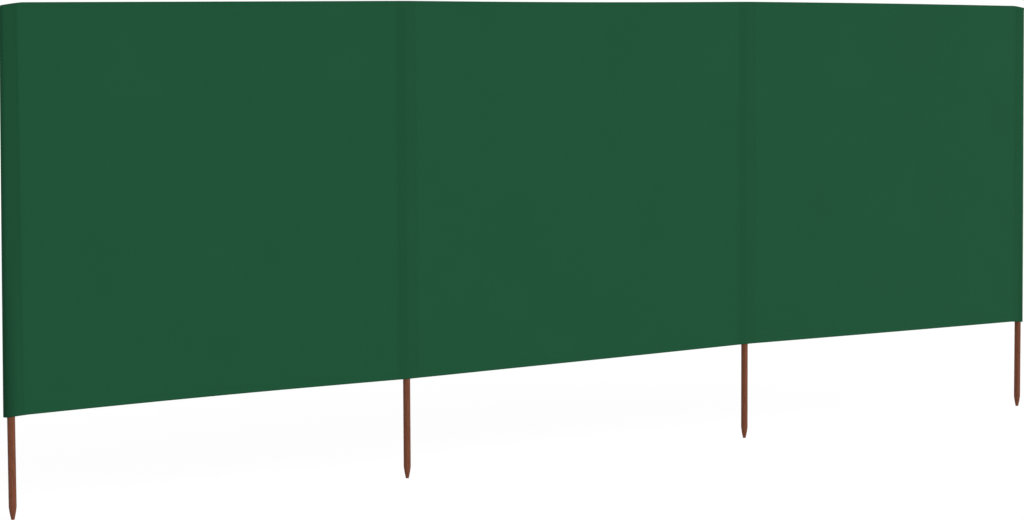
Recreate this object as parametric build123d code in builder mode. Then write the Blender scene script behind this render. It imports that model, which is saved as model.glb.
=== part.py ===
from build123d import *
from math import copysign, hypot
import os

# Fabric windbreak: three bays of taut cloth on four pointed round posts.
# Origin at the centre of the flat tip of the left inner post. +X runs along
# the centre bay, +Y to the back, +Z up. Sizes in millimetres and degrees.

# The row
CENTRE_PITCH = 1365.0  # from one inner post's axis to the other's
END_PITCH = 1305.0  # from an inner post's axis to the end post's
LEFT_HEADING = -3.0  # how the left bay turns from the line of the centre bay
RIGHT_HEADING = -0.5
TOP_HEIGHT = 1600.0  # from the post tips to the top edge of the cloth
CLOTH_HEIGHT = 1267.0

# Posts: round softwood poles, cut to a blunt point
POST_RADIUS = 12.0
TIP_RADIUS = 5.0
TIP_LENGTH = 40.0
TIP_SWELL = 0.7  # how far the cut sides swell past a straight cone
POST_TOP_ROUND = 1.5

# Cloth: one layer at the front, a second layer behind it at pockets and hems
CLOTH_THICKNESS = 1.2
LAP_Y = -5.4  # where the two layers meet, in front of the post axes
SEAT_GAP = 0.3  # slack between a post and the cloth round it
FOLD_GAP = 0.1  # from a turning bay's edge to the circle that clears the pocket

# Pockets: sleeves round the posts, sewn flat at their sides and closed on top
POCKET_SEAM = 30.0  # from the post axis to the seam that shuts the sleeve
POCKET_EDGE = 41.5  # from the post axis to the edge of the sewn lap
POCKET_SLIT = 0.2  # what is left of the sleeve at its seam
CAP_HEIGHT = 22.0  # sewn-shut cloth above the top of a post
CAP_DRAW = 7.0  # how far an end sleeve draws in at its top corner

# Hems: cloth folded over along the top and bottom of each bay
HEM_HEIGHT = 20.0
HEM_BEAD_RADIUS = 1.7  # the roll of the fold at the hem's free edge

cloth_bottom = TOP_HEIGHT - CLOTH_HEIGHT
sleeve_top = TOP_HEIGHT - CAP_HEIGHT
sleeve_radius = POST_RADIUS + SEAT_GAP
post_length = sleeve_top - SEAT_GAP
# A bay that turns round an inner post starts just outside the pocket's reach.
pocket_reach = hypot(POCKET_EDGE - CLOTH_THICKNESS, LAP_Y) + CLOTH_THICKNESS
fold_edge = pocket_reach + FOLD_GAP


def bay_plane(x, y, heading):
    """Ground plane of a bay or a post, with its X axis along the bay."""
    return Plane((x, y, 0), Vector(1, 0, 0).rotate(Axis.Z, heading), (0, 0, 1))


def along(plane, distance):
    """The same plane, further along its bay."""
    return Plane(plane.origin + plane.x_dir * distance, plane.x_dir, plane.z_dir)


left_run = Vector(END_PITCH, 0, 0).rotate(Axis.Z, LEFT_HEADING)
left_bay = bay_plane(-left_run.X, -left_run.Y, LEFT_HEADING)
centre_bay = bay_plane(0, 0, 0)
right_bay = bay_plane(CENTRE_PITCH, 0, RIGHT_HEADING)


# Posts
def make_post(ground):
    """A round post on its flat tip, with slightly swollen pencil cuts."""
    upright = Plane(ground.origin, ground.x_dir, -ground.y_dir)
    middle = ((TIP_RADIUS + POST_RADIUS) / 2 + TIP_SWELL, TIP_LENGTH / 2)
    with BuildPart() as post:
        with BuildSketch(upright):
            with BuildLine():
                tip = Line((0, 0), (TIP_RADIUS, 0))
                cut = ThreePointArc(tip @ 1, middle, (POST_RADIUS, TIP_LENGTH))
                side = Line(cut @ 1, (POST_RADIUS, post_length))
                head = Line(side @ 1, (0, post_length))
                Line(head @ 1, tip @ 0)
            make_face()
        revolve(axis=Axis(ground.origin, (0, 0, 1)))
        top_rim = post.edges().group_by(Axis.Z)[-1]
        fillet(top_rim, POST_TOP_ROUND)
    return post.part


# Pockets
def sleeve_outline(radius, half_lap, seams):
    """Taut cloth round a post and in to each seam, inside an open sketch."""
    with BuildLine(mode=Mode.PRIVATE) as run:
        CenterArc((0, 0), radius, 0, 360)
        for seam in seams:
            Line((seam, LAP_Y - half_lap), (seam, LAP_Y + half_lap))
    make_hull(run.edges())


def sewn_laps(seams):
    """The laps outside the seams, two layers and a turned edge, in an open sketch."""
    for seam in seams:
        turned_edge = copysign(POCKET_EDGE - CLOTH_THICKNESS, seam)
        with Locations(((seam + turned_edge) / 2, LAP_Y)):
            SlotCenterToCenter(abs(turned_edge - seam), 2 * CLOTH_THICKNESS)


def make_sleeve(ground, seams):
    """A sleeve round a post, open below, with the post's space left free."""
    base = ground.offset(cloth_bottom)
    height = sleeve_top - cloth_bottom
    with BuildPart() as sleeve:
        with BuildSketch(base):
            sleeve_outline(sleeve_radius + CLOTH_THICKNESS, CLOTH_THICKNESS, seams)
            sewn_laps(seams)
        extrude(amount=height)
        with BuildSketch(base):
            sleeve_outline(sleeve_radius, POCKET_SLIT / 2, seams)
        extrude(amount=height, mode=Mode.SUBTRACT)
    return sleeve.part


def make_sleeve_half(ground, seams, keep):
    """The cloth in front of a post, or the strip sewn on behind it."""
    lap_face = Plane(ground.origin + ground.y_dir * LAP_Y, ground.x_dir, ground.y_dir)
    with BuildPart() as half:
        add(make_sleeve(ground, seams))
        split(bisect_by=lap_face, keep=keep)
    return half.part


def side_reach(seams, side, round_end):
    """Where a sleeve ends on one side: at its sewn lap, or round the post."""
    return side * (POCKET_EDGE if side * POCKET_SEAM in seams else round_end)


def make_cap(ground, seams):
    """The top of a sleeve, drawn together like a roof and sewn shut over the post."""
    base = ground.offset(sleeve_top)
    side_view = Plane(base.origin, ground.y_dir, ground.x_dir)
    front_view = Plane(base.origin, ground.x_dir, -ground.y_dir)
    bulge = sleeve_radius + CLOTH_THICKNESS
    half_shut = CLOTH_THICKNESS
    drawn_end = bulge - CAP_DRAW
    with BuildPart() as cap:
        with BuildSketch(base):
            sleeve_outline(bulge, CLOTH_THICKNESS, seams)
            sewn_laps(seams)
        extrude(amount=CAP_HEIGHT)
        with BuildSketch(side_view):
            shut = [(LAP_Y + half_shut, CAP_HEIGHT), (LAP_Y - half_shut, CAP_HEIGHT)]
            Polygon((-bulge, 0), (bulge, 0), *shut, align=None)
        extrude(amount=POCKET_EDGE, both=True, mode=Mode.INTERSECT)
        with BuildSketch(front_view):
            foot = [(side_reach(seams, side, bulge), 0) for side in (-1, 1)]
            head = [(side_reach(seams, side, drawn_end), CAP_HEIGHT) for side in (1, -1)]
            Polygon(*foot, *head, align=None)
        extrude(amount=bulge, both=True, mode=Mode.INTERSECT)
    return cap.part


# Panels
def make_panel(ground, start, end):
    """The single layer of cloth between two pockets and between the hems."""
    low = cloth_bottom + HEM_HEIGHT
    height = TOP_HEIGHT - HEM_HEIGHT - low
    upright = Plane(ground.origin + ground.y_dir * LAP_Y, ground.x_dir, -ground.y_dir)
    with BuildPart() as panel:
        with BuildSketch(upright):
            with Locations(((start + end) / 2, low + height / 2)):
                Rectangle(end - start, height)
        extrude(amount=CLOTH_THICKNESS)
    return panel.part


# Hems
def make_hem(ground, start, end, free_edge, upward):
    """Folded cloth along one edge of a bay, with the fold's roll at its rim."""
    cross = Plane(ground.origin + ground.x_dir * start, ground.y_dir, ground.x_dir)
    bead_height = free_edge - upward * HEM_BEAD_RADIUS
    with BuildPart() as hem:
        with BuildSketch(cross):
            with Locations((LAP_Y, free_edge - upward * (HEM_HEIGHT + HEM_BEAD_RADIUS) / 2)):
                Rectangle(2 * CLOTH_THICKNESS, HEM_HEIGHT - HEM_BEAD_RADIUS)
            with Locations((LAP_Y, bead_height)):
                Circle(HEM_BEAD_RADIUS)
        extrude(amount=end - start)
    return hem.part


parts = {}

# The four posts
posts = {
    "left_end_post": left_bay,
    "left_inner_post": centre_bay,
    "right_inner_post": along(centre_bay, CENTRE_PITCH),
    "right_end_post": along(right_bay, END_PITCH),
}
for name, ground in posts.items():
    parts[name] = make_post(ground)

# Sleeves at the ends: the cloth runs round the post and back to its seam
end_sleeves = {
    "left_end_pocket": (left_bay, 1),
    "right_end_pocket": (along(right_bay, END_PITCH), -1),
}
for name, (ground, inward) in end_sleeves.items():
    seams = [inward * POCKET_SEAM]
    parts[name] = make_sleeve(ground, seams)
    parts[name + "_top"] = make_cap(ground, seams)

# Sleeves at the inner posts: a strip behind the cloth, with a seam each side
inner_sleeves = {
    "left_inner_pocket": centre_bay,
    "right_inner_pocket": along(centre_bay, CENTRE_PITCH),
}
for name, ground in inner_sleeves.items():
    seams = [-POCKET_SEAM, POCKET_SEAM]
    parts[name + "_front"] = make_sleeve_half(ground, seams, Keep.BOTTOM)
    parts[name + "_back"] = make_sleeve_half(ground, seams, Keep.TOP)
    parts[name + "_top"] = make_cap(ground, seams)

# Cloth and hems of each bay, between the pockets at its two ends
bays = {
    "left": (left_bay, POCKET_EDGE, END_PITCH - fold_edge),
    "centre": (centre_bay, POCKET_EDGE, CENTRE_PITCH - POCKET_EDGE),
    "right": (right_bay, fold_edge, END_PITCH - POCKET_EDGE),
}
for name, (ground, start, end) in bays.items():
    parts[name + "_panel"] = make_panel(ground, start, end)
    parts[name + "_top_hem"] = make_hem(ground, start, end, TOP_HEIGHT, 1)
    parts[name + "_bottom_hem"] = make_hem(ground, start, end, cloth_bottom, -1)

os.makedirs("parts", exist_ok=True)
for name, piece in parts.items():
    piece.label = name
    export_step(piece, f"parts/{name}.step")
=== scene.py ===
from math import asin, atan2, ceil, cos, exp, hypot, pi, radians, sin, sqrt

import bmesh
import bpy
from mathutils import Matrix, Vector, noise


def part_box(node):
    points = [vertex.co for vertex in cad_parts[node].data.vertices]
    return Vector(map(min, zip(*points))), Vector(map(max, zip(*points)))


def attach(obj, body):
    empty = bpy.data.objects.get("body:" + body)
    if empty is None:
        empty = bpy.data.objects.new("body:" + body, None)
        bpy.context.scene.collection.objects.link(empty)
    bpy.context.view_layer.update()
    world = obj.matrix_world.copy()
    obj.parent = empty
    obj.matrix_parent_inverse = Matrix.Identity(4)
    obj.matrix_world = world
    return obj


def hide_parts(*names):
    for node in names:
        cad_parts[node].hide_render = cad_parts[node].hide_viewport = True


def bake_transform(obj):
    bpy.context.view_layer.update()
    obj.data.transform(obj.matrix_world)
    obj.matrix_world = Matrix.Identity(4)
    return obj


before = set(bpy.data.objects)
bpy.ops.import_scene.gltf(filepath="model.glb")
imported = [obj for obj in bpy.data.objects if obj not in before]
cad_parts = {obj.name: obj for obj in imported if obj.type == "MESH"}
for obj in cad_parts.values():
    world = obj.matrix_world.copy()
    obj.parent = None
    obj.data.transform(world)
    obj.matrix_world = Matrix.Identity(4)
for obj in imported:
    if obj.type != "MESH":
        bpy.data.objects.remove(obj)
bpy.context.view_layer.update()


# Studio. The windbreak stands on a white floor in a white room, under an even
# sky of soft light, with one broad soft light in front of it, to the right.
def new_material(name):
    """An empty node material, with its output."""
    material = bpy.data.materials.new(name)
    material.use_nodes = True
    material.node_tree.nodes.clear()
    material.node_tree.nodes.new("ShaderNodeOutputMaterial")
    return material


def add_node(tree, kind, **settings):
    """One node, with its inputs and properties set by name."""
    node = tree.nodes.new("ShaderNode" + kind)
    for key, value in settings.items():
        socket = key.replace("_", " ").title()
        if socket in node.inputs:
            node.inputs[socket].default_value = value
        else:
            setattr(node, key, value)
    return node


def new_piece(name, shape, finish):
    """A finished shape as an object in the scene, with its material."""
    mesh = bpy.data.meshes.new(name)
    shape.to_mesh(mesh)
    shape.free()
    mesh.materials.append(finish)
    piece = bpy.data.objects.new(name, mesh)
    bpy.context.scene.collection.objects.link(piece)
    return piece


room_white = (1.0, 1.0, 1.0, 1.0)
sky_light = 0.54
floor_paint = (0.92, 0.92, 0.92, 1.0)
floor_glow = 1.07
floor_glow_share = 0.86  # the rest of what the camera sees is the shaded paint
floor_reach = 60.0

world = bpy.data.worlds.new("white_room")
bpy.context.scene.world = world
world.use_nodes = True
tree = world.node_tree
tree.nodes.clear()
seen = add_node(tree, "LightPath")
sky = add_node(tree, "Background", color=room_white, strength=sky_light)
backdrop = add_node(tree, "Background", color=room_white, strength=1.0)
seen_directly = add_node(tree, "Math", operation="MAXIMUM")
pick = add_node(tree, "MixShader")
out = add_node(tree, "OutputWorld")
tree.links.new(seen.outputs["Is Camera Ray"], seen_directly.inputs[0])
tree.links.new(seen.outputs["Is Transmission Ray"], seen_directly.inputs[1])
tree.links.new(seen_directly.outputs[0], pick.inputs[0])
tree.links.new(sky.outputs[0], pick.inputs[1])
tree.links.new(backdrop.outputs[0], pick.inputs[2])
tree.links.new(pick.outputs[0], out.inputs[0])

floor_white = new_material("floor_white")
tree = floor_white.node_tree
seen = add_node(tree, "LightPath")
paint = add_node(tree, "BsdfDiffuse", color=floor_paint)
glow = add_node(tree, "Emission", color=room_white, strength=floor_glow)
share = add_node(tree, "Math", operation="MULTIPLY")
share.inputs[1].default_value = floor_glow_share
pick = add_node(tree, "MixShader")
tree.links.new(seen.outputs["Is Camera Ray"], share.inputs[0])
tree.links.new(share.outputs[0], pick.inputs[0])
tree.links.new(paint.outputs[0], pick.inputs[1])
tree.links.new(glow.outputs[0], pick.inputs[2])
tree.links.new(pick.outputs[0], tree.nodes["Material Output"].inputs["Surface"])

shape = bmesh.new()
bmesh.ops.create_grid(shape, x_segments=1, y_segments=1, size=floor_reach)
floor = new_piece("floor", shape, floor_white)

light_spread = radians(50.0)
light_strength = 1.65
light_aim = Vector((-0.55, 0.75, -0.50))
light_data = bpy.data.lights.new("soft_light", "SUN")
light_data.angle = light_spread
light_data.energy = light_strength
light = bpy.data.objects.new("soft_light", light_data)
light.matrix_world = light_aim.to_track_quat("-Z", "Y").to_matrix().to_4x4()
bpy.context.scene.collection.objects.link(light)

# Camera. It stands at eye height in front of the left end and looks along the
# row. Its lens is shifted, which keeps the posts nearly upright in the picture.
camera_place = Vector((-2.6318, -5.8349, 1.4711))
camera_yaw = radians(27.479)
camera_pitch = radians(-2.983)
camera_roll = radians(-0.253)
camera_data = bpy.data.cameras.new("camera")
camera_data.sensor_width = 36.0
camera_data.lens = 67.435
camera_data.shift_y = -0.1172
camera = bpy.data.objects.new("camera", camera_data)
camera.matrix_world = (
    Matrix.Translation(camera_place)
    @ Matrix.Rotation(-camera_yaw, 4, "Z")
    @ Matrix.Rotation(pi / 2 + camera_pitch, 4, "X")
    @ Matrix.Rotation(camera_roll, 4, "Z")
)
bpy.context.scene.collection.objects.link(camera)
bpy.context.scene.camera = camera
bpy.context.scene.view_settings.view_transform = "Standard"


# Posts. Four round softwood poles, turned smooth, stained reddish brown and cut
# to a blunt point. They stand loose in the sleeves of the cloth.
def new_group(name, inputs, outputs):
    """A shader node group with named float, colour or vector sockets."""
    group = bpy.data.node_groups.new(name, "ShaderNodeTree")
    for direction, sockets in (("INPUT", inputs), ("OUTPUT", outputs)):
        for socket, kind in sockets.items():
            group.interface.new_socket(socket, in_out=direction, socket_type="NodeSocket" + kind)
    return group, group.nodes.new("NodeGroupInput"), group.nodes.new("NodeGroupOutput")


post_at = {}
for name in ("left_end_post", "left_inner_post", "right_inner_post", "right_end_post"):
    low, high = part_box(name)
    post_at[name] = (low + high) / 2
post_foot, post_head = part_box("left_inner_post")
post_radius = (post_head - post_foot).x / 2
post_top = post_head.z

stain = (0.190, 0.0590, 0.0265, 1.0)
stain_dark = (0.104, 0.0295, 0.0128, 1.0)
stain_pale = (0.272, 0.0970, 0.0445, 1.0)
late_wood_tint = (0.72, 0.66, 0.62, 1.0)
late_wood_strength = 0.5
late_wood_height = 0.6
streak_draw = 0.035                # how much the streaks are drawn out along a pole
ring_draw = 0.06
tree_heart = (0.009, 0.014, 0.0)   # the rings' centre, outside the pole cut from them
grain_depth = 0.0003
grain_shift = 3.0                  # along a pole, so that no two show the same stretch


def wood_grain_group():
    """Streaks along a pole, with late-wood lines where rings meet its side."""
    group, given, result = new_group(
        "wood_grain",
        {"Vector": "Vector"},
        {"Streak": "Float", "Ring": "Float", "Height": "Float"},
    )
    links = group.links
    stretch = add_node(group, "Mapping")
    stretch.inputs["Scale"].default_value = (1.0, 1.0, streak_draw)
    links.new(given.outputs["Vector"], stretch.inputs["Vector"])
    fine = add_node(group, "TexNoise", scale=900.0, detail=4.0, roughness=0.6)
    links.new(stretch.outputs[0], fine.inputs["Vector"])
    rings = add_node(group, "TexWave", wave_type="RINGS", rings_direction="Z", scale=55.0)
    rings.inputs["Distortion"].default_value = 3.5
    rings.inputs["Detail"].default_value = 2.0
    rings.inputs["Detail Scale"].default_value = 0.8
    off_centre = add_node(group, "Mapping")
    off_centre.inputs["Location"].default_value = tree_heart
    off_centre.inputs["Scale"].default_value = (1.0, 1.0, ring_draw)
    links.new(given.outputs["Vector"], off_centre.inputs["Vector"])
    links.new(off_centre.outputs[0], rings.inputs["Vector"])
    both = add_node(group, "Math", operation="MULTIPLY_ADD")
    both.inputs[1].default_value = late_wood_height
    links.new(rings.outputs["Fac"], both.inputs[0])
    links.new(fine.outputs["Fac"], both.inputs[2])
    links.new(fine.outputs["Fac"], result.inputs["Streak"])
    links.new(rings.outputs["Fac"], result.inputs["Ring"])
    links.new(both.outputs[0], result.inputs["Height"])
    return group


wood_grain = wood_grain_group()


def stained_wood(name, axis):
    """The stained finish of one post, with the grain centred on its axis."""
    material = new_material(name)
    tree = material.node_tree
    links = tree.links
    place = add_node(tree, "TexCoord")
    centre = add_node(tree, "Mapping")
    centre.inputs["Location"].default_value = (-axis.x, -axis.y, axis.x * grain_shift)
    links.new(place.outputs["Object"], centre.inputs["Vector"])
    grain = add_node(tree, "Group", node_tree=wood_grain)
    links.new(centre.outputs[0], grain.inputs["Vector"])
    tone = add_node(tree, "ValToRGB")
    tone.color_ramp.elements[0].position = 0.30
    tone.color_ramp.elements[0].color = stain_dark
    tone.color_ramp.elements[1].position = 0.72
    tone.color_ramp.elements[1].color = stain_pale
    middle = tone.color_ramp.elements.new(0.48)
    middle.color = stain
    links.new(grain.outputs["Streak"], tone.inputs["Fac"])
    ring_share = add_node(tree, "Math", operation="MULTIPLY")
    ring_share.inputs[1].default_value = late_wood_strength
    links.new(grain.outputs["Ring"], ring_share.inputs[0])
    # The colour sockets of a Mix node are its inputs 6 and 7 and its output 2.
    late_wood = add_node(tree, "Mix", data_type="RGBA", blend_type="MULTIPLY")
    links.new(ring_share.outputs[0], late_wood.inputs["Factor"])
    links.new(tone.outputs["Color"], late_wood.inputs[6])
    late_wood.inputs[7].default_value = late_wood_tint
    bump = add_node(tree, "Bump", strength=0.35, distance=grain_depth)
    links.new(grain.outputs["Height"], bump.inputs["Height"])
    wood = add_node(tree, "BsdfPrincipled", roughness=0.62)
    wood.inputs["Specular IOR Level"].default_value = 0.2
    links.new(late_wood.outputs[2], wood.inputs["Base Color"])
    links.new(bump.outputs[0], wood.inputs["Normal"])
    links.new(wood.outputs[0], tree.nodes["Material Output"].inputs["Surface"])
    return material


for name, axis in post_at.items():
    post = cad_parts[name]
    post.data.materials.clear()
    post.data.materials.append(stained_wood(name + "_wood", axis))


# Cloth. One length of dark green woven cloth, hemmed along its top and bottom
# edges, makes the front of all three bays. It is cut flat, folded at the hems
# and run round the posts, and its two ends are sewn back on themselves.
cloth_thickness = 0.00035
layer = 0.0004           # from the middle of one folded layer to the next
seam = 0.030             # from a post's axis to the seam that shuts its sleeve
hem = 0.020
hem_tuck = 0.011         # raw edge turned in under the hem
lap_tuck = 0.006
crease = 0.004           # how softly the cloth bends at a seam
pushed_forward = 0.005   # by the posts behind it, as it is pulled tight
front_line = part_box("centre_panel")[0].y + layer - pushed_forward
lap_line = front_line + 3 * layer
lap_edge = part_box("left_inner_pocket_back")[1].x
sleeve_radius = post_radius + 3 * layer
cloth_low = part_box("centre_bottom_hem")[0].z
cloth_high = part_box("centre_top_hem")[1].z
cloth_height = cloth_high - cloth_low

left_run = post_at["left_inner_post"] - post_at["left_end_post"]
right_run = post_at["right_end_post"] - post_at["right_inner_post"]
left_pitch = hypot(left_run.x, left_run.y)
right_pitch = hypot(right_run.x, right_run.y)
centre_pitch = post_at["right_inner_post"].x - post_at["left_inner_post"].x
left_heading = atan2(left_run.y, left_run.x)
right_heading = atan2(right_run.y, right_run.x)
left_end = -left_pitch
right_end = centre_pitch + right_pitch
post_line = (left_end, 0.0, centre_pitch, right_end)


def smooth(share):
    """0 below 0, 1 above 1 and an even S between them."""
    share = min(max(share, 0.0), 1.0)
    return share * share * (3 - 2 * share)


def lay(start, heading, legs):
    """A path on from a start, one (length, left turn, steps) leg after another."""
    laid = []
    x, y = start
    distance = 0.0
    for length, turn, steps in legs:
        laid.append((distance, x, y, heading, length, turn, steps))
        x, y, heading = step_along(laid[-1], length)
        distance += length
    return laid


def step_along(leg, distance):
    """Where a path is, and its heading, some way along one of its legs."""
    _, x, y, heading, length, turn, _ = leg
    if abs(turn) < 1e-9:
        return x + distance * cos(heading), y + distance * sin(heading), heading
    radius = length / turn
    now = heading + turn * distance / length
    return x + radius * (sin(now) - sin(heading)), y - radius * (cos(now) - cos(heading)), now


def follow(path, distance):
    """Where a path is, and its heading, at a distance from its start."""
    here = path[0]
    for leg in path:
        if leg[0] > distance + 1e-9:
            break
        here = leg
    return step_along(here, distance - here[0])


def stations(path):
    """Distances along a path at which the mesh has a line of vertices."""
    marks = [0.0]
    for start, _, _, _, length, _, steps in path:
        marks += [start + length * step / steps for step in range(1, steps + 1)]
    return marks


def path_length(path):
    """How long a path is, from its start to the end of its last leg."""
    return path[-1][0] + path[-1][4]


def path_end(path):
    """Where a path ends."""
    return follow(path, path_length(path))[:2]


def flank(line):
    """Length of taut cloth from seam to post, and its turn from the seam line."""
    reach = hypot(seam, line)
    return sqrt(reach**2 - sleeve_radius**2), asin(sleeve_radius / reach)


front_flank, front_cone = flank(front_line)
front_turn = front_cone - atan2(-front_line, seam)
back_flank, back_cone = flank(lap_line)
back_turn = back_cone + atan2(-lap_line, seam)
half_crease = crease / 2

inner_sleeve = [
    (crease, -front_turn, 3),
    (front_flank - half_crease, 0.0, 7),
    (sleeve_radius * 2 * front_turn, 2 * front_turn, 6),
    (front_flank - half_crease, 0.0, 7),
    (crease, -front_turn, 3),
]
turned_edge = [(lap_tuck, 0.0, 2), (pi * layer / 2, pi, 3)]
lap_to_flank = [
    (lap_edge - layer / 2 - seam - half_crease, 0.0, 5),
    (crease, -back_turn, 3),
    (back_flank - half_crease, 0.0, 7),
]
end_round = back_turn + pi + front_turn
end_sleeve = [
    *turned_edge,
    *lap_to_flank,
    (sleeve_radius * end_round, end_round, 26),
    (front_flank - half_crease, 0.0, 7),
    (crease, -front_turn, 3),
]


def bay_cloth(length):
    """Straight cloth between two seams, marked out closely near each of them."""
    near = 0.070
    near_steps = 17
    wide_step = 0.012
    middle = length - 2 * near
    return [
        (near, 0.0, near_steps),
        (middle, 0.0, ceil(middle / wide_step)),
        (near, 0.0, near_steps),
    ]


# The plans run across the cloth, as seen from above, with the whole row drawn
# in one line. The profile below them runs up the cloth, as seen from its end.
between = 2 * (seam + half_crease)
lap_start = lap_edge - layer / 2 - lap_tuck
left_plan = lay(
    (left_end + lap_start, lap_line - layer),
    0.0,
    end_sleeve + bay_cloth(left_pitch - between) + inner_sleeve,
)
centre_plan = lay(path_end(left_plan), 0.0, bay_cloth(centre_pitch - between))
right_plan = lay(
    path_end(centre_plan),
    0.0,
    inner_sleeve + bay_cloth(right_pitch - between) + end_sleeve[::-1],
)
hem_fold = [
    (hem_tuck, 0.0, 3),
    (pi * layer / 2, pi, 3),
    (hem - 1.5 * layer, 0.0, 7),
    (pi * layer, pi, 5),
]
fold_length = sum(leg[0] for leg in hem_fold)
front_height = cloth_height - 2 * layer
front_steps = 170        # up the cloth between its two hems
profile = lay(
    (-layer, cloth_low + hem - hem_tuck),
    pi / 2,
    hem_fold
    + [(hem, 0.0, 7), (front_height - 2 * hem, 0.0, front_steps), (hem, 0.0, 7)]
    + hem_fold[::-1],
)
flat_height = path_length(profile)

# How far the edges of the cloth sit above their even line, at the four posts
# from left to right, and how much they bow in the middle of each bay.
top_lift = (-0.0078, 0.0023, 0.0065, -0.0040)
bottom_lift = (-0.0097, 0.0048, 0.0172, 0.0098)
top_bow = (0.0, -0.0029, 0.0018)
bottom_bow = (0.0038, -0.0008, -0.0008)

# The two ends of the row, left and right.
top_corner_drop = (0.0090, 0.0080)
bottom_corner_drop = (0.0028, 0.0050)
corner_width = (0.066, 0.056)
corner_height = 0.06      # share of the cloth's height that drops with a corner
corner_fade = 0.05
corner_curve = 1.2
slack = (0.0100, 0.0080)  # how far an end sleeve hangs off its post at the bottom

# The closed top of a sleeve, above its post.
rim_room = 0.0005        # from the top of a post to where its sleeve starts to close
shut_band = 0.002        # flat cloth above the closed sleeve, below the top edge
cap_draw = 0.08          # how far the closed top of an end sleeve draws in

# Where a lap covers a hem, it stands off by the two layers folded in under it.
hem_fade = 0.008
lap_from = 0.018         # from a post's axis to where a lap starts to stand off
lap_fade = 0.010

# How the taut cloth stands off its even face: broad drags in the middle of a
# bay, puckers at a seam, ripples along a hem and a dent at each row of stitches.
drag_depth = 0.0016
swell_depth = 0.0010
pucker_depth = 0.0005
ripple_depth = 0.0004
stitch_dent = 0.00025
free_reach = 0.30        # from a seam to where the cloth is free to drag
pucker_reach = 0.018
ripple_reach = 0.016
dent_reach = 0.0025
post_clear = 0.022       # from a post's axis to cloth that no longer lies on it
clear_fade = 0.008
hem_stitch = 0.0165      # from the edge of the cloth to the stitching of its hem


def edges_at(x):
    """How far the pull on the cloth lifts its bottom and top edges, along the row."""
    bay = sum(1 for post in post_line[1:3] if x > post)
    share = (x - post_line[bay]) / (post_line[bay + 1] - post_line[bay])
    share = min(max(share, 0.0), 1.0)
    middle = sin(pi * share)
    low = bottom_lift[bay] * (1 - share) + bottom_lift[bay + 1] * share + bottom_bow[bay] * middle
    high = top_lift[bay] * (1 - share) + top_lift[bay + 1] * share + top_bow[bay] * middle
    return low, high


def nearest_post(x):
    """The nearest post, and the way out of the row at an end post, or 0."""
    nearest = min(post_line, key=lambda post: abs(post - x))
    return nearest, (nearest == right_end) - (nearest == left_end)


def relief(x, z):
    """How far the taut cloth stands forward of its even face."""
    from_post = abs(x - nearest_post(x)[0])
    from_seam = abs(from_post - seam)
    from_stitch = min(abs(z - cloth_low - hem_stitch), abs(cloth_high - hem_stitch - z))
    free = smooth((from_post - seam) / free_reach)
    clear = smooth((from_post - post_clear) / clear_fade)
    drag = noise.noise(Vector((0.55 * x - 1.3 * z + 3.0, 3.4 * z + 1.6 * x, 0.3)))
    swell = noise.noise(Vector((1.7 * x, 1.2 * z, 7.0)))
    pucker = noise.noise(Vector((x * 9.0, z * 34.0, 2.0))) * exp(-from_seam / pucker_reach)
    ripple = noise.noise(Vector((x * 38.0, z * 6.0, 5.0))) * exp(-from_stitch / ripple_reach)
    dent = exp(-((from_seam / dent_reach) ** 2)) + exp(-((from_stitch / dent_reach) ** 2))
    return (
        free * (drag_depth * drag + swell_depth * swell)
        + clear * (pucker_depth * pucker + ripple_depth * ripple)
        - stitch_dent * dent * clear
    )


def lay_out(x, y):
    """From the row drawn in one line to the row as it stands, its end bays turned."""
    left_angle = left_heading * (1 - smooth((x + seam) / (2 * seam)))
    right_angle = right_heading * smooth((x - centre_pitch + seam) / (2 * seam))
    pivot = 0.0 if left_angle else centre_pitch
    angle = left_angle or right_angle
    along, back = x - pivot, y
    return pivot + along * cos(angle) - back * sin(angle), along * sin(angle) + back * cos(angle)


def hang(plan, across, up, lift=0.0):
    """A point of the flat cloth, some way across and up it, where it hangs."""
    x, y, heading = follow(plan, across)
    forward, z, rise = follow(profile, up)
    forward += lift * sin(rise)
    z -= lift * cos(rise)
    nearest, outward = nearest_post(x)

    # Cloth that has turned back round a post lies on the lap line, and at a hem
    # it leaves room for the hem's folds.
    behind = smooth(0.5 - 2 * cos(heading))
    in_hem = 1 - smooth((min(z - cloth_low, cloth_high - z) - hem) / hem_fade)
    in_lap = behind * smooth((abs(x - nearest) - lap_from) / lap_fade)
    flat_line = front_line + behind * (lap_line - front_line)
    forward += relief(x, z) * (1 - behind)

    # The pull on the cloth bends its edges, and the corners at the row's ends drop.
    height = (z - cloth_low) / cloth_height
    low, high = edges_at(x)
    z += low * (1 - height) + high * height
    top_edge = cloth_high + high
    if outward:
        end = int(outward > 0)
        inward = outward * (nearest - x)
        near = max(1 - (inward + sleeve_radius) / corner_width[end], 0.0) ** corner_curve
        in_top = smooth((height - 1 + corner_height) / corner_fade)
        in_bottom = smooth((corner_height - height) / corner_fade)
        z -= near * top_corner_drop[end] * in_top
        z -= near * bottom_corner_drop[end] * in_bottom
        top_edge -= near * top_corner_drop[end]

    # Above its post the sleeve closes to flat cloth.
    close_from = post_top + rim_room
    shut = smooth((z - close_from) / (top_edge - shut_band - close_from))
    x += forward * sin(heading)
    y -= forward * cos(heading)
    y = flat_line + (y - flat_line) * (1 - shut) - shut * forward * cos(heading)
    y += 2 * layer * in_hem * in_lap
    if outward:
        x -= outward * max(-inward, 0.0) * cap_draw * shut
        loose = smooth(1 - inward / seam) * (1 - behind) + smooth(-inward / sleeve_radius) * behind
        x += outward * slack[end] * loose * max(1 - height, 0.0)
    x, y = lay_out(x, y)
    return Vector((x, y, z))


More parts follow.
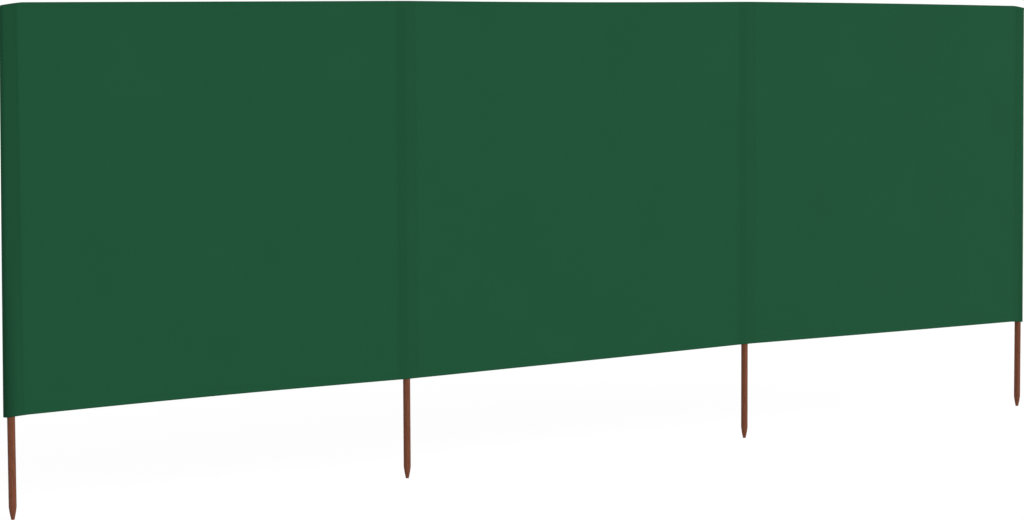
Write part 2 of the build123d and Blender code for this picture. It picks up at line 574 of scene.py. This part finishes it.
# Painted shade: how much the cloth's colour is darkened where more cloth and a
# post stand behind it, in place of the daylight they would keep from it: at the
# two ends, where the sleeve is taut and loose, and at the inner posts.
taut_shade = (0.38, 0.15)
loose_shade = (0.82, 0.50)
inner_shade = 0.12
# Painted shade along the folded top and bottom edges of the cloth.
fold_shade = 0.45
fold_reach = 0.0025
loose_height = 0.55      # share of the cloth's height over which it hangs loose
taut_loss = 0.58         # share of the taut shade that is gone at the bottom
taut_edge = 0.032        # from a post's axis, inwards, to where each shade fades
taut_fade = 0.010
loose_edge = -0.006
loose_fade = 0.034
inner_edge = 0.026
inner_fade = 0.010


def painted_shade_at(plan, across, up):
    """How much painted shade a point of the cloth gets, from 0 for none to 1, where cloth or a
    post stands behind it and along its folded edges.
    """
    x = follow(plan, across)[0]
    z = follow(profile, up)[1]
    nearest, outward = nearest_post(x)
    if outward:
        end = int(outward > 0)
        inward = outward * (nearest - x)
        low = 1 - smooth((z - cloth_low) / (loose_height * cloth_height))
        taut = taut_shade[end] * (1 - taut_loss * low)
        share = taut * (1 - smooth((inward - taut_edge) / taut_fade))
        share += loose_shade[end] * low * (1 - smooth((inward - loose_edge) / loose_fade))
    else:
        share = inner_shade * (1 - smooth((abs(x - nearest) - inner_edge) / inner_fade))
    # Painted shade along the folded top and bottom edges.
    share += fold_shade * exp(-min(z - cloth_low, cloth_high - z) / fold_reach)
    return min(share, 1.0)


def cut_cloth(name, plan, finish):
    """A piece of cloth, from its flat cut to its folded and hung shape."""
    columns = stations(plan)
    rows = stations(profile)
    shape = bmesh.new()
    # Each vertex keeps how much painted shade its colour gets.
    painted_shade = shape.verts.layers.float.new("painted_shade")
    flat = shape.loops.layers.uv.new("cut")
    bmesh.ops.create_grid(shape, x_segments=len(columns) - 1, y_segments=len(rows) - 1, size=0.5)
    marks = {}
    for vertex in shape.verts:
        column = round((vertex.co.x + 0.5) * (len(columns) - 1))
        row = round((vertex.co.y + 0.5) * (len(rows) - 1))
        marks[vertex] = (columns[column], rows[row])
    for face in shape.faces:
        face.smooth = True
        for corner in face.loops:
            corner[flat].uv = marks[corner.vert]
    for vertex, (across, up) in marks.items():
        vertex.co = hang(plan, across, up)
        vertex[painted_shade] = painted_shade_at(plan, across, up)
    bmesh.ops.recalc_face_normals(shape, faces=shape.faces)
    piece = new_piece(name, shape, finish)
    thicken = piece.modifiers.new("thickness", "SOLIDIFY")
    thicken.thickness = cloth_thickness
    thicken.offset = 0.0
    even = piece.modifiers.new("even_shading", "WEIGHTED_NORMAL")
    even.weight = 90
    return piece


cloth_green = (0.0117, 0.0845, 0.0370)
threads_per_metre = 1400.0
slubs_per_metre = 22.0   # thick places along one thread
thread_depth = 0.00012
crossing = 0.35          # how softly one thread passes under the next
plain_value = 0.92       # of the colour, before dye, threads and slubs add to it
dye_value = 0.10
thread_value = 0.06
slub_value = 0.05
painted_shade_loss = 0.45       # how much darker the painted shade makes the cloth, where it is full


def weave_group():
    """Plain weave on flat cloth measured in metres: threads over and under."""
    group, given, result = new_group(
        "plain_weave",
        {"Vector": "Vector", "Threads": "Float"},
        {"Shade": "Float", "Height": "Float"},
    )
    links = group.links
    in_threads = add_node(group, "VectorMath", operation="SCALE")
    links.new(given.outputs["Vector"], in_threads.inputs[0])
    links.new(given.outputs["Threads"], in_threads.inputs["Scale"])
    apart = add_node(group, "SeparateXYZ")
    links.new(in_threads.outputs[0], apart.inputs[0])
    waves = {}
    for axis in ("X", "Y"):
        half_turn = add_node(group, "Math", operation="MULTIPLY")
        half_turn.inputs[1].default_value = pi
        links.new(apart.outputs[axis], half_turn.inputs[0])
        wave = add_node(group, "Math", operation="SINE")
        links.new(half_turn.outputs[0], wave.inputs[0])
        crown = add_node(group, "Math", operation="ABSOLUTE")
        links.new(wave.outputs[0], crown.inputs[0])
        waves[axis] = (wave, crown)
    over = add_node(group, "Math", operation="MULTIPLY")
    links.new(waves["X"][0].outputs[0], over.inputs[0])
    links.new(waves["Y"][0].outputs[0], over.inputs[1])
    which = add_node(group, "MapRange", interpolation_type="SMOOTHSTEP")
    which.inputs["From Min"].default_value = -crossing
    which.inputs["From Max"].default_value = crossing
    links.new(over.outputs[0], which.inputs["Value"])
    height = add_node(group, "Mix", data_type="FLOAT")
    links.new(which.outputs[0], height.inputs["Factor"])
    links.new(waves["Y"][1].outputs[0], height.inputs["A"])
    links.new(waves["X"][1].outputs[0], height.inputs["B"])
    links.new(which.outputs[0], result.inputs["Shade"])
    links.new(height.outputs[0], result.inputs["Height"])
    return group


plain_weave = weave_group()


def green_cloth(name):
    """Dark green woven polyester, dull, with a slight shift from thread to thread."""
    material = new_material(name)
    tree = material.node_tree
    links = tree.links
    cut = add_node(tree, "UVMap", uv_map="cut")
    weave = add_node(tree, "Group", node_tree=plain_weave)
    weave.inputs["Threads"].default_value = threads_per_metre
    links.new(cut.outputs[0], weave.inputs["Vector"])
    dye = add_node(tree, "TexNoise", scale=3.0, detail=3.0, roughness=0.55)
    links.new(cut.outputs[0], dye.inputs["Vector"])
    yarn = add_node(tree, "Mapping")
    yarn.inputs["Scale"].default_value = (threads_per_metre, slubs_per_metre, 1.0)
    links.new(cut.outputs[0], yarn.inputs["Vector"])
    slub = add_node(tree, "TexNoise", scale=1.0, detail=2.0)
    links.new(yarn.outputs[0], slub.inputs["Vector"])

    # Each source of unevenness adds its small share to the value of the colour.
    value = add_node(tree, "Math", operation="MULTIPLY_ADD")
    value.inputs[1].default_value = dye_value
    value.inputs[2].default_value = plain_value
    links.new(dye.outputs["Fac"], value.inputs[0])
    threads = add_node(tree, "Math", operation="MULTIPLY_ADD")
    threads.inputs[1].default_value = thread_value
    links.new(weave.outputs["Shade"], threads.inputs[0])
    links.new(value.outputs[0], threads.inputs[2])
    slubs = add_node(tree, "Math", operation="MULTIPLY_ADD")
    slubs.inputs[1].default_value = slub_value
    links.new(slub.outputs["Fac"], slubs.inputs[0])
    links.new(threads.outputs[0], slubs.inputs[2])

    # Then the cloth's colour is darkened by its painted shade, where cloth or a post stands behind
    # it and along its folded edges.
    painted_shade = add_node(tree, "Attribute", attribute_name="painted_shade")
    shade = add_node(tree, "Math", operation="MULTIPLY_ADD")
    shade.inputs[1].default_value = -painted_shade_loss
    shade.inputs[2].default_value = 1.0
    links.new(painted_shade.outputs["Fac"], shade.inputs[0])
    shaded = add_node(tree, "Math", operation="MULTIPLY")
    links.new(slubs.outputs[0], shaded.inputs[0])
    links.new(shade.outputs[0], shaded.inputs[1])
    dyed = add_node(tree, "VectorMath", operation="SCALE")
    dyed.inputs[0].default_value = cloth_green
    links.new(shaded.outputs[0], dyed.inputs["Scale"])
    bump = add_node(tree, "Bump", strength=0.5, distance=thread_depth)
    links.new(weave.outputs["Height"], bump.inputs["Height"])
    cloth = add_node(tree, "BsdfPrincipled", roughness=0.85)
    cloth.inputs["Specular IOR Level"].default_value = 0.08
    cloth.inputs["Sheen Weight"].default_value = 0.04
    cloth.inputs["Sheen Roughness"].default_value = 0.6
    cloth.inputs["Sheen Tint"].default_value = (0.25, 0.8, 0.45, 1.0)
    links.new(dyed.outputs[0], cloth.inputs["Base Color"])
    links.new(bump.outputs[0], cloth.inputs["Normal"])
    links.new(cloth.outputs[0], tree.nodes["Material Output"].inputs["Surface"])
    return material


woven_green = green_cloth("woven_green")


# Left bay. Its cloth runs round the end post, where its edge is turned in and
# sewn back on itself, and crosses the front of the inner post to the next bay.
stitch_pitch = 0.004
stitch_size = (0.00155, 0.00030, 0.00022)
stitch_height = 0.00034
lap_stitch = 0.0085      # from a seam to the second row, at the edge of the lap
row_gap = 0.004          # from a raw or turned edge to the end of a row
past_end_lap = 0.013     # from a seam to where a hem's back row starts, clear of the lap
past_strip = 0.011
thread_dark = (0.010, 0.075, 0.034, 1.0)
thread_pale = (0.018, 0.115, 0.054, 1.0)

# Places up the flat cloth: the front and the back of the two hem rows, and the
# full height between the two folded edges.
stitch_up = fold_length + hem_stitch - layer
front_hem_rows = (stitch_up, flat_height - stitch_up)
stitch_back = fold_length - pi * layer - hem_stitch + layer
back_hem_rows = (stitch_back, flat_height - stitch_back)
full_height = (fold_length + row_gap, flat_height - fold_length - row_gap)


def thread_material():
    """Twisted polyester thread, a shade brighter than the cloth."""
    material = new_material("green_thread")
    tree = material.node_tree
    links = tree.links
    place = add_node(tree, "TexCoord")
    twist = add_node(tree, "TexNoise", scale=1500.0, detail=2.0)
    links.new(place.outputs["Object"], twist.inputs["Vector"])
    tone = add_node(tree, "ValToRGB")
    tone.color_ramp.elements[0].color = thread_dark
    tone.color_ramp.elements[1].color = thread_pale
    links.new(twist.outputs["Fac"], tone.inputs["Fac"])
    fibres = add_node(tree, "Bump", strength=0.4, distance=0.0001)
    links.new(twist.outputs["Fac"], fibres.inputs["Height"])
    thread = add_node(tree, "BsdfPrincipled", roughness=0.5)
    thread.inputs["Specular IOR Level"].default_value = 0.25
    links.new(tone.outputs["Color"], thread.inputs["Base Color"])
    links.new(fibres.outputs[0], thread.inputs["Normal"])
    links.new(thread.outputs[0], tree.nodes["Material Output"].inputs["Surface"])
    return material


green_thread = thread_material()


def add_row(shape, start, end):
    """Stitches end to end from one place on the flat cloth to another."""
    run = end - start
    count = round(run.length / stitch_pitch)
    step = run / count
    turn = Matrix.Rotation(atan2(run.y, run.x), 4, "Z")
    first = start + step / 2 + Vector((0, 0, stitch_height))
    place = Matrix.Translation(first) @ turn @ Matrix.Diagonal((*stitch_size, 1))
    stitch = bmesh.ops.create_icosphere(shape, subdivisions=1, radius=1.0, matrix=place)["verts"]
    row = {face for vertex in stitch for face in vertex.link_faces}
    made = 1
    while made < count:
        # The row so far is copied on, or as much of it as is still wanted.
        more = min(made, count - made)
        wanted = more * step.length
        repeated = [face for face in row if (face.calc_center_median() - start).length < wanted]
        copied = bmesh.ops.duplicate(shape, geom=repeated)["geom"]
        added = {part for part in copied if isinstance(part, bmesh.types.BMFace)}
        moved = {vertex for face in added for vertex in face.verts}
        bmesh.ops.translate(shape, verts=list(moved), vec=made * step)
        made += more
        row |= added


def sew(name, plan, upright_rows, level_rows):
    """Rows of stitches on a piece of cloth, laid flat first and then hung with it."""
    shape = bmesh.new()
    for across in upright_rows:
        add_row(shape, Vector((across, full_height[0], 0)), Vector((across, full_height[1], 0)))
    for up, start, end in level_rows:
        add_row(shape, Vector((start, up, 0)), Vector((end, up, 0)))
    for vertex in shape.verts:
        across, up, lift = vertex.co
        vertex.co = hang(plan, across, up, lift)
    for face in shape.faces:
        face.smooth = True
    bmesh.ops.recalc_face_normals(shape, faces=shape.faces)
    piece = new_piece(name, shape, green_thread)
    return piece


# Places across the flat cloth, measured from the end of its own sleeve.
end_seam_front = sum(leg[0] for leg in end_sleeve) - half_crease
end_seam_back = lap_tuck + pi * layer / 2 + lap_edge - layer / 2 - seam
inner_front = sum(leg[0] for leg in inner_sleeve)
left_length = path_length(left_plan)

left_cloth = cut_cloth("left_cloth", left_plan, woven_green)
left_thread = sew(
    "left_cloth_thread",
    left_plan,
    [
        end_seam_back - lap_stitch, end_seam_back,
        end_seam_front, end_seam_front + lap_stitch,
        left_length - inner_front + half_crease - lap_stitch,
        left_length - inner_front + half_crease,
        left_length - half_crease,
    ],
    [(up, row_gap, left_length) for up in front_hem_rows]
    + [
        (up, end_seam_front + past_end_lap, left_length - inner_front - past_strip)
        for up in back_hem_rows
    ],
)
for piece in (left_cloth, left_thread):
    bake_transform(piece)
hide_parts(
    "left_panel", "left_top_hem", "left_bottom_hem",
    "left_end_pocket", "left_end_pocket_top",
    "left_inner_pocket_front", "left_inner_pocket_top",
)


# Centre bay. The same length of cloth goes on from seam to seam, with nothing
# of its own to hold it up but the two inner posts.
centre_length = path_length(centre_plan)
centre_cloth = cut_cloth("centre_cloth", centre_plan, woven_green)
centre_thread = sew(
    "centre_cloth_thread",
    centre_plan,
    [lap_stitch - half_crease, centre_length - lap_stitch + half_crease],
    [(up, 0.0, centre_length) for up in front_hem_rows]
    + [(up, past_strip, centre_length - past_strip) for up in back_hem_rows],
)
for piece in (centre_cloth, centre_thread):
    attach(piece, "centre_bay")
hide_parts("centre_panel", "centre_top_hem", "centre_bottom_hem")


# Right bay. The cloth crosses the second inner post, and ends as it began, run
# round the last post and sewn back on itself.
right_length = path_length(right_plan)
right_cloth = cut_cloth("right_cloth", right_plan, woven_green)
right_thread = sew(
    "right_cloth_thread",
    right_plan,
    [
        half_crease,
        inner_front - half_crease, inner_front - half_crease + lap_stitch,
        right_length - end_seam_front - lap_stitch, right_length - end_seam_front,
        right_length - end_seam_back, right_length - end_seam_back + lap_stitch,
    ],
    [(up, 0.0, right_length - row_gap) for up in front_hem_rows]
    + [
        (up, inner_front + past_strip, right_length - end_seam_front - past_end_lap)
        for up in back_hem_rows
    ],
)
for piece in (right_cloth, right_thread):
    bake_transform(piece)
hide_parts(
    "right_panel", "right_top_hem", "right_bottom_hem",
    "right_end_pocket", "right_end_pocket_top",
    "right_inner_pocket_front", "right_inner_pocket_top",
)


# Back strips. At each inner post a strip of the same cloth is sewn on behind,
# with its edges turned in, and shuts the sleeve that the post stands in.
back_sleeve = [
    *turned_edge,
    *lap_to_flank,
    (sleeve_radius * 2 * back_turn, 2 * back_turn, 10),
    *lap_to_flank[::-1],
    *turned_edge[::-1],
]
strip_length = sum(leg[0] for leg in back_sleeve)
strip_bodies = {
    "left_inner": (0.0, "left_bay", "centre_bay"),
    "right_inner": (centre_pitch, "centre_bay", "right_bay"),
}
for name, (post_x, near_body, far_body) in strip_bodies.items():
    strip_plan = lay((post_x + lap_start, lap_line - layer), 0.0, back_sleeve)
    strip = cut_cloth(name + "_strip", strip_plan, woven_green)
    thread = sew(
        name + "_strip_thread",
        strip_plan,
        [
            end_seam_back - lap_stitch, end_seam_back,
            strip_length - end_seam_back, strip_length - end_seam_back + lap_stitch,
        ],
        [(up, row_gap + lap_tuck, strip_length - row_gap - lap_tuck) for up in front_hem_rows],
    )
    for piece in (strip, thread):
        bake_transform(piece)
    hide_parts(name + "_pocket_back")
